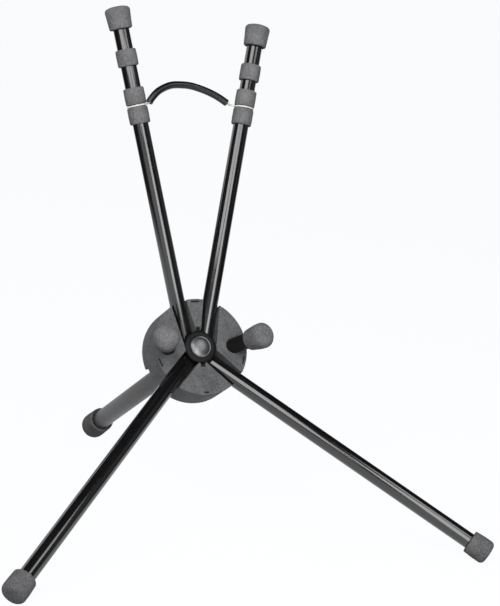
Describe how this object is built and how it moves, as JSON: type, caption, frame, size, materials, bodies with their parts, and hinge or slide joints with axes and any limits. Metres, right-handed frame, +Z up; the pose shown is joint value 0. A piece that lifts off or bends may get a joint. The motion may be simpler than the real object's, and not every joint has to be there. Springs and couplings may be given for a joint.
{
  "type": "alto saxophone stand",
  "caption": "Folding floor stand for an alto saxophone: slotted hinge head with two ringed arms, bell pegs, front legs that fold back, and a fixed rear leg.",
  "frame": {"origin": "on the floor, in the middle of the stand's bounding box", "axes": "+Z up, +Y from the front feet towards the rear foot, +X to the right of someone facing the bell pegs"},
  "size_m": [0.4994, 0.5127, 0.5111],
  "materials": {
    "gloss_black": "gloss",
    "black_plastic": "satin",
    "head_plastic": "fine grain",
    "grey_paint": "satin",
    "grey_rubber": "matte",
    "sleeve_rubber": "satin",
    "zinc_steel": "satin",
    "white_string": "twisted",
    "brake_fibre": "matte"
  },
  "bodies": {
    "head": {"head_body": "head_plastic", "back_cover": "head_plastic", "shell_screw_top": "zinc_steel", "shell_screw_right": "zinc_steel", "shell_screw_bottom": "zinc_steel", "shell_screw_left": "zinc_steel", "rear_leg_screw": "zinc_steel", "peg_screw_left": "zinc_steel", "peg_screw_right": "zinc_steel", "hub": "black_plastic", "hub_cap": "black_plastic", "cap_badge": "gloss_black", "hub_bolt": "zinc_steel", "hub_nut": "zinc_steel", "rear_leg_plug": "black_plastic", "rear_leg_tube": "grey_paint", "rear_foot": "grey_rubber", "peg_stem_left": "black_plastic", "peg_stem_right": "black_plastic", "peg_cap_left": "grey_rubber", "peg_cap_right": "grey_rubber", "hinge_pin_arm_left": "zinc_steel", "hinge_pin_arm_right": "zinc_steel", "hinge_pin_leg_left": "zinc_steel", "hinge_pin_leg_right": "zinc_steel", "friction_washer_arm_left": "brake_fibre", "friction_washer_arm_right": "brake_fibre", "friction_washer_leg_left": "brake_fibre", "friction_washer_leg_right": "brake_fibre"},
    "arm_left": {"arm_left_tube": "gloss_black", "arm_left_knuckle": "black_plastic", "arm_left_rivet": "zinc_steel", "arm_left_cap": "grey_rubber", "arm_left_ring_upper": "grey_rubber", "arm_left_ring_middle": "grey_rubber", "arm_left_ring_lower": "grey_rubber", "cord_loop_left": "white_string", "cord_sleeve": "sleeve_rubber", "cord_string_left": "white_string", "cord_string_right": "white_string"},
    "arm_right": {"arm_right_tube": "gloss_black", "arm_right_knuckle": "black_plastic", "arm_right_rivet": "zinc_steel", "arm_right_cap": "grey_rubber", "arm_right_ring_upper": "grey_rubber", "arm_right_ring_middle": "grey_rubber", "arm_right_ring_lower": "grey_rubber", "cord_loop_right": "white_string"},
    "leg_left": {"leg_left_tube": "gloss_black", "leg_left_knuckle": "black_plastic", "leg_left_rivet": "zinc_steel", "leg_left_foot": "grey_rubber"},
    "leg_right": {"leg_right_tube": "gloss_black", "leg_right_knuckle": "black_plastic", "leg_right_rivet": "zinc_steel", "leg_right_foot": "grey_rubber"}
  },
  "joints": [
    {"name": "arm_left_fold", "type": "hinge", "parent": "head", "child": "arm_left", "pos_m": [-0.01126, -0.02874, 0.1815], "axis": [-0.978, -0.1003, -0.1829], "range_deg": [0, 106], "deforming": ["cord_sleeve", "cord_string_left", "cord_string_right"]},
    {"name": "arm_right_fold", "type": "hinge", "parent": "head", "child": "arm_right", "pos_m": [0.01126, -0.02874, 0.1815], "axis": [-0.978, 0.1003, 0.1829], "range_deg": [0, 106]},
    {"name": "leg_left_fold", "type": "hinge", "parent": "head", "child": "leg_left", "pos_m": [-0.01108, -0.04142, 0.1584], "axis": [0.7059, -0.3407, -0.621], "range_deg": [0, 106]},
    {"name": "leg_right_fold", "type": "hinge", "parent": "head", "child": "leg_right", "pos_m": [0.01108, -0.04142, 0.1584], "axis": [0.7059, 0.3407, 0.621], "range_deg": [0, 106]}
  ],
  "couplings": [
    {"joint": "arm_right_fold", "follows": "arm_left_fold", "ratio": 1}
  ]
}
